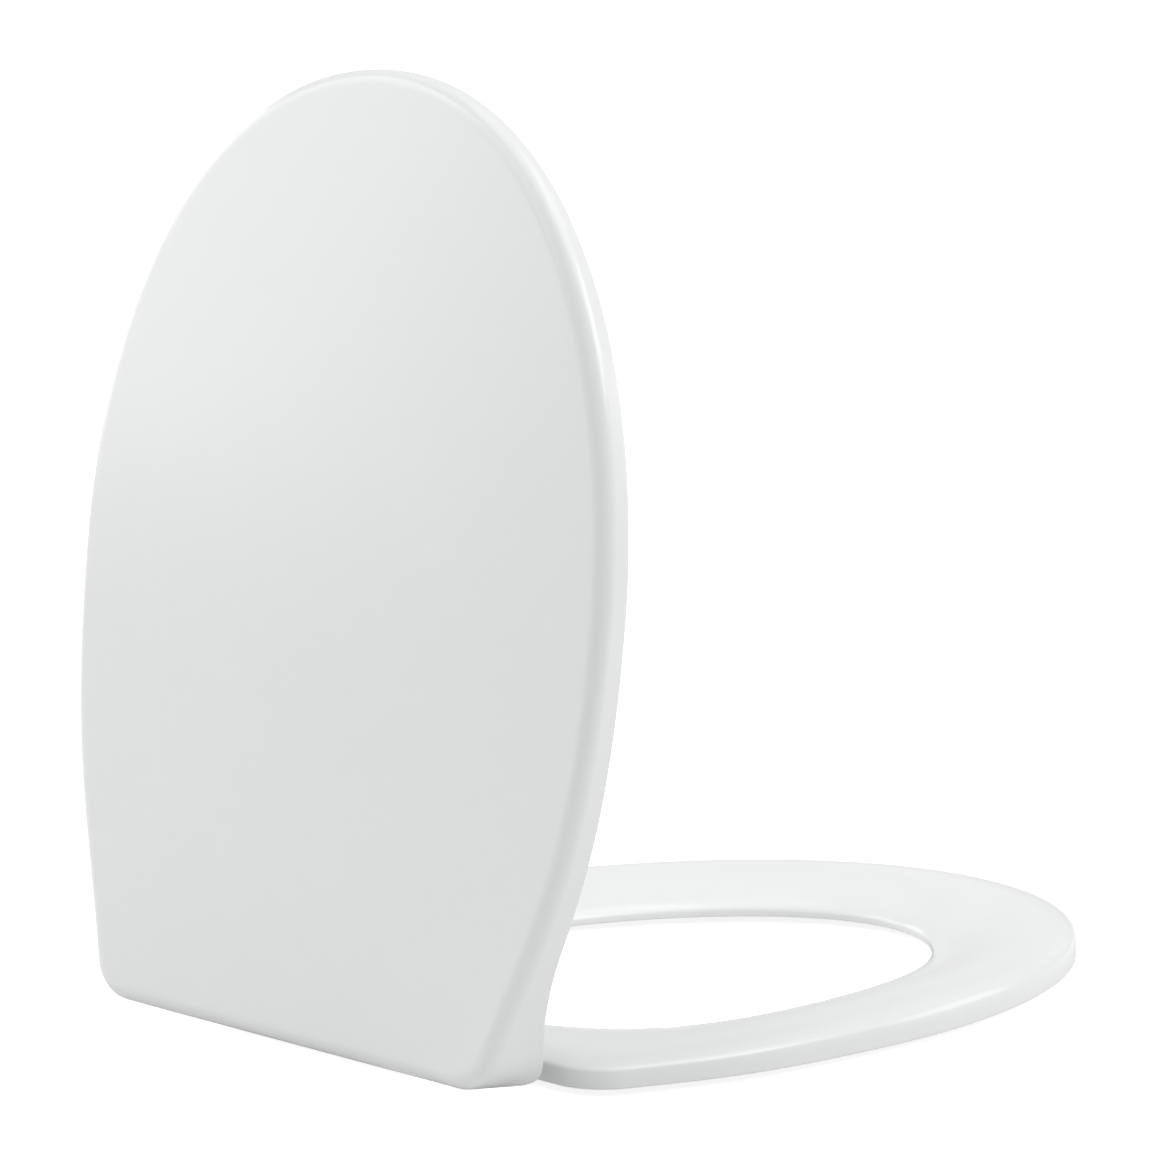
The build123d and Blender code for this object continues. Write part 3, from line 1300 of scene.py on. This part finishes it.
@dataclass
class SeatRing:
    """The ring: a hollow section with a rolled top that falls towards the hole, in mm."""

    pins: PinLine
    standoff: float = 4.0
    height: float = 18.2
    rear_dip: float = 6.0
    dip_start: float = -250.0
    dip_end: float = -30.0
    crown_share: float = 0.31
    wall_top: float = 7.5
    rim_top: float = 2.5
    outer_roll: Roll = Roll(2.0, 2.6)
    inner_roll: Roll = Roll(1.6, 1.62)
    top_chords: tuple[int, int] = (14, 26)
    hollow_chords: tuple[int, int] = (8, 12)
    core_chords: tuple[int, int] = (8, 10)
    fall_run: float = 87.0
    wall: float = 4.0
    lip: float = 0.6
    lip_chords: int = 4
    block_rear: float = 5.0
    rib_thickness: float = 3.0
    rib_recess: float = 2.0
    rib_length: float = 100.0
    rib_places: tuple[float, ...] = (0.2, 0.7, 1.0, 1.3)
    buffer_places: tuple[float, ...] = (0.42, 1.5)
    buffer_length: float = 36.0
    buffer_width: float = 14.0
    buffer_seat: float = 2.5
    boss_margin: float = 3.0
    stem_radius: float = 2.5
    stem_length: float = 5.0
    lug_root: float = 14.0
    lug_over: float = 2.0
    lug_under: float = 4.0
    outline: SquareEnded = field(
        default_factory=lambda: SquareEnded(
            half_width=178.5,
            tip=426.5,
            widest=172.0,
            rear=-16.0,
            rear_half=150.0,
            splay=19.5,
            corner=26.0,
            fullness=(0.611, 0.501, 0.504, 0.381),
        )
    )
    hole: Oval = Oval(
        half_width=113.5, front=353.5, widest=184.0, rear=62.0, fullness=(0.53, 0.51, 0.55, 0.6)
    )
    middle_fullness: tuple[float, float, float, float] = (0.6, 0.53, 0.54, 0.62)

    def spokes(self) -> list[tuple[Vector, Vector]]:
        """Go round the ring, section by section.

        Returns:
            Where each section starts at the outer wall and ends at the hole, seen from above.
        """
        marks = self.outline.marks()
        starts = self.outline.rim(marks)
        goals = self.outline.drawn_in(self.fall_run).rim(marks)
        right = self.outline.counts.half + 1
        bores = closed(
            [
                self.hole.crossing(start.place, goal.place - start.place)
                for start, goal in zip(starts[:right], goals[:right])
            ]
        )
        return [(start.place, bore.place) for start, bore in zip(starts, bores, strict=True)]

    def crown(self, place: Vector) -> float:
        """The height of the crown over the bowl, which dips behind the hole.

        Args:
            place: The crown's place, seen from above.

        Returns:
            Its height.
        """
        share = (place.y - self.dip_start) / (self.dip_end - self.dip_start)
        share = min(1.0, max(0.0, share))
        return self.standoff + self.height - self.rear_dip * share * share * (3 - 2 * share)

    def spot(self, place: Vector, height: float) -> Vector:
        """A place on the ring, in metres.

        Args:
            place: Where it is, seen from above, from the pin line.
            height: Its height over the bowl.

        Returns:
            The place.
        """
        return Vector((place.x, place.y + self.pins.behind_bolt, height)) * MM

    def strung(self, sections: Sequence[Sequence[tuple[Vector, float]]]) -> list[Loop]:
        """Turn sections into loops that run round the ring.

        Args:
            sections: Places and heights across the ring, for each section.

        Returns:
            The loops, in the order of the sections' points.
        """
        return [[self.spot(*spot) for spot in row] for row in zip(*sections, strict=True)]

    def skin_loops(self, drop: float, rim_top: float, chords: tuple[int, int]) -> list[Loop]:
        """A skin over or inside the ring, from the outer wall over the crown to the wall of the hole.

        Args:
            drop: How far it lies inside the outer skin.
            rim_top: How far over the ring's foot it reaches the wall of the hole.
            chords: How many chords it has outside and inside the crown.

        Returns:
            Its loops.
        """
        outer, inner = chords
        shoulder, rim = self.standoff + self.wall_top - drop / 2, self.standoff + rim_top
        sections = []
        for start, end in self.spokes():
            run = end - start
            middle = self.crown_share * run.length
            crown = self.crown(start + run * self.crown_share) - drop
            row = []
            for i in range(outer):
                out, up = self.outer_roll.at(1 - i / outer)
                row.append((middle - (middle - drop) * out, shoulder + (crown - shoulder) * up))
            for i in range(inner + 1):
                out, up = self.inner_roll.at(i / inner)
                row.append((middle + (run.length - drop - middle) * out, rim + (crown - rim) * up))
            sections.append([(start + run.normalized() * depth, height) for depth, height in row])
        return self.strung(sections)

    def foot_loops(self, at_hole: bool) -> list[Loop]:
        """The rounded lip under one wall, from its outer face to the hollow's face.

        Args:
            at_hole: True for the wall of the hole, False for the outer wall.

        Returns:
            The lip's loops.
        """
        level = self.standoff + self.lip
        outer = arc(self.lip, pi, 3 * pi / 2, self.lip_chords)
        inner = arc(self.lip, 3 * pi / 2, 2 * pi, self.lip_chords)
        turns = [(self.lip + along, up) for along, up in outer]
        turns += [(self.wall - self.lip + along, up) for along, up in inner]
        sections = []
        for start, end in self.spokes():
            near, far = (end, start) if at_hole else (start, end)
            way = (far - near).normalized()
            sections.append([(near + way * depth, level + up) for depth, up in turns])
        return self.strung(sections)

    def shell(self, name: str) -> bpy.types.Object:
        """Draw the hollow section right round.

        Args:
            name: The piece's name.

        Returns:
            The shell, closed.
        """
        upper = self.skin_loops(0.0, self.rim_top, self.top_chords)
        under = self.skin_loops(self.wall, 2 * self.lip, self.hollow_chords)
        outer_lip = self.foot_loops(at_hole=False)
        hole_lip = self.foot_loops(at_hole=True)
        skin = LoopSkin(name, upper[0])
        skin.draw(*upper[1:], *between(upper[-1], hole_lip[0], 2), *hole_lip)
        skin.draw(*reversed(under))
        skin.draw(*between(under[0], outer_lip[-1], 3), *reversed(outer_lip))
        skin.draw(*between(outer_lip[0], upper[0], 3))
        return skin.round_up().finish()

    def core(self) -> bpy.types.Object:
        """A solid that ends halfway through the shell's walls, to trim what stands inside."""
        loops = self.skin_loops(self.wall / 2, self.lip, self.core_chords)
        below = (self.standoff - OVERCUT) * MM
        hole_foot = [Vector((p.x, p.y, below)) for p in loops[-1]]
        outer_foot = [Vector((p.x, p.y, below)) for p in loops[0]]
        skin = LoopSkin("ring_core", loops[0])
        skin.draw(*loops[1:], hole_foot, outer_foot)
        return skin.round_up().finish()

    def station(self, side: Side, place: float) -> Matrix:
        """A level frame on the middle of the ring's section.

        Args:
            side: The side of the seat.
            place: 0 at the tip, 1 at the widest point, 2 at the rear.

        Returns:
            The frame, its X axis along the ring, in metres.
        """
        middle = Oval(
            (self.outline.half_width + self.hole.half_width) / 2,
            (self.outline.tip + self.hole.front) / 2,
            self.outline.widest,
            (-self.outline.rear + self.hole.rear) / 2,
            self.middle_fullness,
        )
        curve = middle.quarters()[int(place)]
        spot, along = curve.at(place % 1), curve.heading(place % 1)
        turn = atan2(along.y, side.value * along.x)
        origin = self.spot(Vector((side.value * spot.x, spot.y)), self.standoff)
        return Matrix.Translation(origin) @ Matrix.Rotation(turn, 4, "Z")

    def pad(self, frame_there: Matrix, margin: float, low: float, high: float) -> bpy.types.Object:
        """A long round-ended block on the middle of the section.

        Args:
            frame_there: The frame on which it lies.
            margin: How much larger than a buffer it is all round.
            low: Its underside over the frame.
            high: Its top over the frame.

        Returns:
            The block.
        """
        radius = self.buffer_width / 2 + margin
        reach = self.buffer_length / 2 + margin - radius
        spots = (Vector((way * reach, 0, low)) for way in (-1, 1))
        solid = wrapped(*[rod(spot, Axis.UPRIGHT, radius, high - low) for spot in spots])
        solid.data.transform(frame_there)
        return solid

    def stiffeners(self) -> bpy.types.Object:
        """The hinge blocks, cross ribs and buffer bosses, trimmed inside the shell's walls."""
        pins = self.pins
        inner = pins.post_middle - pins.notch_half - self.wall
        outer = pins.ring_lug + pins.lug_width + self.wall
        front = pins.foot_front + pins.post_clearance + self.wall
        top = self.standoff + self.height
        solids = []
        for side in Side:
            near, far = sorted((side.value * inner, side.value * outer))
            low, high = Vector((near, -front, self.standoff)), Vector((far, self.block_rear, top))
            solids.append(block(low, high))
            for place in self.rib_places:
                rib = block(
                    Vector((-self.rib_thickness / 2, -self.rib_length / 2, self.rib_recess)),
                    Vector((self.rib_thickness / 2, self.rib_length / 2, self.height)),
                )
                rib.data.transform(self.station(side, place))
                solids.append(rib)
            for place in self.buffer_places:
                solids.append(self.pad(self.station(side, place), self.boss_margin, 0.0, self.height))
        return carve(together(solids), self.core(), Carve.KEEP)

    def lugs(self) -> bpy.types.Object:
        """The two lugs that reach back from the ring to the pin line."""
        pins = self.pins
        rear = pins.behind_bolt + self.outline.rear
        solids = []
        for side in Side:
            start = pins.lug_start(pins.ring_lug, side)
            barrel = rod(
                Vector((start, pins.behind_bolt, pins.height)),
                Axis.ALONG_PIN,
                pins.lug_radius,
                pins.lug_width,
            )
            root = block(
                Vector((start, rear - self.lug_root, pins.height - self.lug_under)),
                Vector((start + pins.lug_width, rear, pins.height + self.lug_over)),
            )
            solids.append(wrapped(barrel, root))
        return together(solids)

    def cuts(self) -> bpy.types.Object:
        """The gaps round the posts, the bores of the lugs and the seats of the buffers."""
        pins = self.pins
        depth = pins.foot_front + pins.post_clearance
        solids = []
        for side in Side:
            middle = side.value * pins.post_middle
            solids.append(
                block(
                    Vector((middle - pins.notch_half, -depth, self.standoff - OVERCUT)),
                    Vector((middle + pins.notch_half, depth, self.standoff + 2 * self.height)),
                )
            )
            start = pins.lug_start(pins.ring_lug, side) - OVERCUT
            solids.append(
                rod(
                    Vector((start, pins.behind_bolt, pins.height)),
                    Axis.ALONG_PIN,
                    pins.bore_radius,
                    pins.lug_width + 2 * OVERCUT,
                )
            )
            for place in self.buffer_places:
                solids.append(self.pad(self.station(side, place), 0.0, -OVERCUT, self.buffer_seat))
        return together(solids)

    def stem_holes(self) -> bpy.types.Object:
        """The holes of the buffers' stems."""
        length = self.stem_length + self.buffer_seat
        holes = []
        for side in Side:
            for place in self.buffer_places:
                hole = rod(Vector((0, 0, 0)), Axis.UPRIGHT, self.stem_radius, length, STEM_FACETS)
                hole.data.transform(self.station(side, place))
                holes.append(hole)
        return together(holes)

    def build(self) -> bpy.types.Object:
        """Model the ring.

        Returns:
            The finished piece.
        """
        piece = self.shell("ring_shell")
        carve(piece, self.stiffeners(), Carve.JOIN)
        carve(piece, self.lugs(), Carve.JOIN)
        carve(piece, self.cuts(), Carve.CUT)
        carve(piece, self.stem_holes(), Carve.CUT)
        return polish(mend(piece))

    def dress(self, piece: bpy.types.Object, finish: bpy.types.Material) -> None:
        """Give the ring its finish and its place in the part.

        Args:
            piece: The ring.
            finish: Its material.
        """
        wear(piece, finish)
        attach(piece, "ring")
        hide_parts("seat_ring")


@dataclass
class Hardware:
    """The hinge's own pieces and the buffers, whose solids stay as they are."""

    record: Mapping[str, Sequence[Mapping[str, str]]]
    nodes: Mapping[str, bpy.types.Object]

    def dress(self, finishes: Mapping[str, bpy.types.Material]) -> None:
        """Give each piece the finish that the part's record names.

        Args:
            finishes: The materials by their names.
        """
        for row in self.record["subparts"]:
            wear(self.nodes[row["node"]], finishes[row["material_slot"]])
            log.info("dressed %s in %s", row["node"], row["material_slot"])


@dataclass(frozen=True)
class Softbox:
    """A large soft lamp that looks at the seat, placed by its angles round the seat, in degrees."""

    name: str
    azimuth: float
    elevation: float
    width: float
    height: float
    power: float

    def hang(self, aim: Vector, distance: float) -> None:
        """Hang the lamp.

        Args:
            aim: The point at which it looks, in metres.
            distance: How far from that point it hangs, in metres.
        """
        turn, lift = radians(self.azimuth), radians(self.elevation)
        way = Vector((cos(turn) * cos(lift), sin(turn) * cos(lift), sin(lift)))
        lamp = bpy.data.lights.new(self.name, "AREA")
        lamp.shape = "RECTANGLE"
        lamp.size, lamp.size_y = self.width, self.height
        lamp.energy = self.power
        stand = bpy.data.objects.new(self.name, lamp)
        stand.location = aim + way * distance
        stand.rotation_euler = (-way).to_track_quat("-Z", "Y").to_euler()
        bpy.context.scene.collection.objects.link(stand)


@dataclass
class Studio:
    """A pale floor, soft lamps and the camera at the photograph's angle."""

    pins: PinLine
    azimuth: float = 227.495
    elevation: float = 8.993
    distance: float = 2698.65
    aim_right: float = 109.96
    aim_up: float = 197.2
    lens: float = 184.35
    sensor: float = 36.0
    far_clip: float = 100.0
    floor_size: float = 40.0
    room_light: float = 0.55
    lamp_aim: tuple[float, float, float] = (0.0, -0.05, 0.2)
    lamp_distance: float = 2.6
    lamps: tuple[Softbox, ...] = (
        Softbox("rear_box", 30.0, 25.0, 1.3, 2.3, 19.2),
        Softbox("rear_wide_box", 60.0, 40.0, 1.6, 1.6, 8.0),
        Softbox("left_box", 0.0, 12.0, 1.3, 1.1, 8.0),
        Softbox("right_box", 240.0, 12.0, 1.3, 1.1, 7.8),
        Softbox("right_high_box", 210.0, 38.0, 1.3, 1.1, 16.3),
        Softbox("high_box", 216.0, 64.0, 2.3, 1.2, 13.5),
        Softbox("top_box", 0.0, 90.0, 2.0, 2.0, 11.4),
        Softbox("front_box", 317.0, 9.0, 4.0, 0.8, 1.7),
    )

    def lay_floor(self) -> None:
        """Lay the pale floor, whose glow whitens the ground but doesn't light the seat."""
        rest_tools()
        bpy.ops.mesh.primitive_plane_add(size=self.floor_size)
        floor = bpy.context.object
        floor.name = "studio_floor"
        wear(floor, PALE_FLOOR.material())
        lit_by_glow = bpy.data.collections.new("floor_glow")
        lit_by_glow.objects.link(floor)
        floor.light_linking.receiver_collection = lit_by_glow

    def light(self) -> None:
        """Light the room and hang the lamps."""
        room = bpy.data.worlds.new("studio_room")
        bpy.context.scene.world = room
        board = NodeBoard(room)
        air = next(n for n in board.tree.nodes if n.type == "BACKGROUND")
        air.inputs["Color"].default_value = (1.0, 1.0, 1.0, 1.0)
        air.inputs["Strength"].default_value = self.room_light
        for lamp in self.lamps:
            lamp.hang(Vector(self.lamp_aim), self.lamp_distance)

    def set_camera(self) -> None:
        """Stand the camera where the photograph was taken from."""
        turn, lift = radians(self.azimuth), radians(self.elevation)
        right = Vector((cos(turn), sin(turn), 0.0))
        back = Vector((sin(turn) * cos(lift), -cos(turn) * cos(lift), sin(lift)))
        up = back.cross(right)
        place = self.pins.middle + right * self.aim_right + up * self.aim_up + back * self.distance
        eye = bpy.data.cameras.new("camera")
        eye.lens, eye.sensor_width, eye.sensor_fit = self.lens, self.sensor, "HORIZONTAL"
        eye.clip_end = self.far_clip
        stand = bpy.data.objects.new("camera", eye)
        turned = Matrix((right, up, back)).transposed().to_4x4()
        stand.matrix_world = Matrix.Translation(place * MM) @ turned
        bpy.context.scene.collection.objects.link(stand)
        bpy.context.scene.camera = stand

    def build(self) -> None:
        """Set up the whole studio."""
        self.lay_floor()
        self.light()
        self.set_camera()
        bpy.context.scene.view_settings.view_transform = "Standard"


def main() -> None:
    """Build the seat piece by piece and set the studio round it."""
    logging.basicConfig(level=logging.INFO, format="%(message)s")
    finishes = {finish.name: finish.material() for finish in FINISHES}
    Hardware(frame["record"], frame["nodes"]).dress(finishes)
    pins = PinLine()
    ring = SeatRing(pins)
    ring_piece = ring.build()
    ring.dress(ring_piece, finishes["white_moulding"])
    log.info("modelled %s, %d faces", ring_piece.name, len(ring_piece.data.polygons))
    lid = Lid(pins)
    lid_piece = lid.build(ring.outline)
    lid.dress(lid_piece, finishes["white_moulding"])
    log.info("modelled %s, %d faces", lid_piece.name, len(lid_piece.data.polygons))
    Studio(pins).build()


if __name__ == "__main__":
    main()
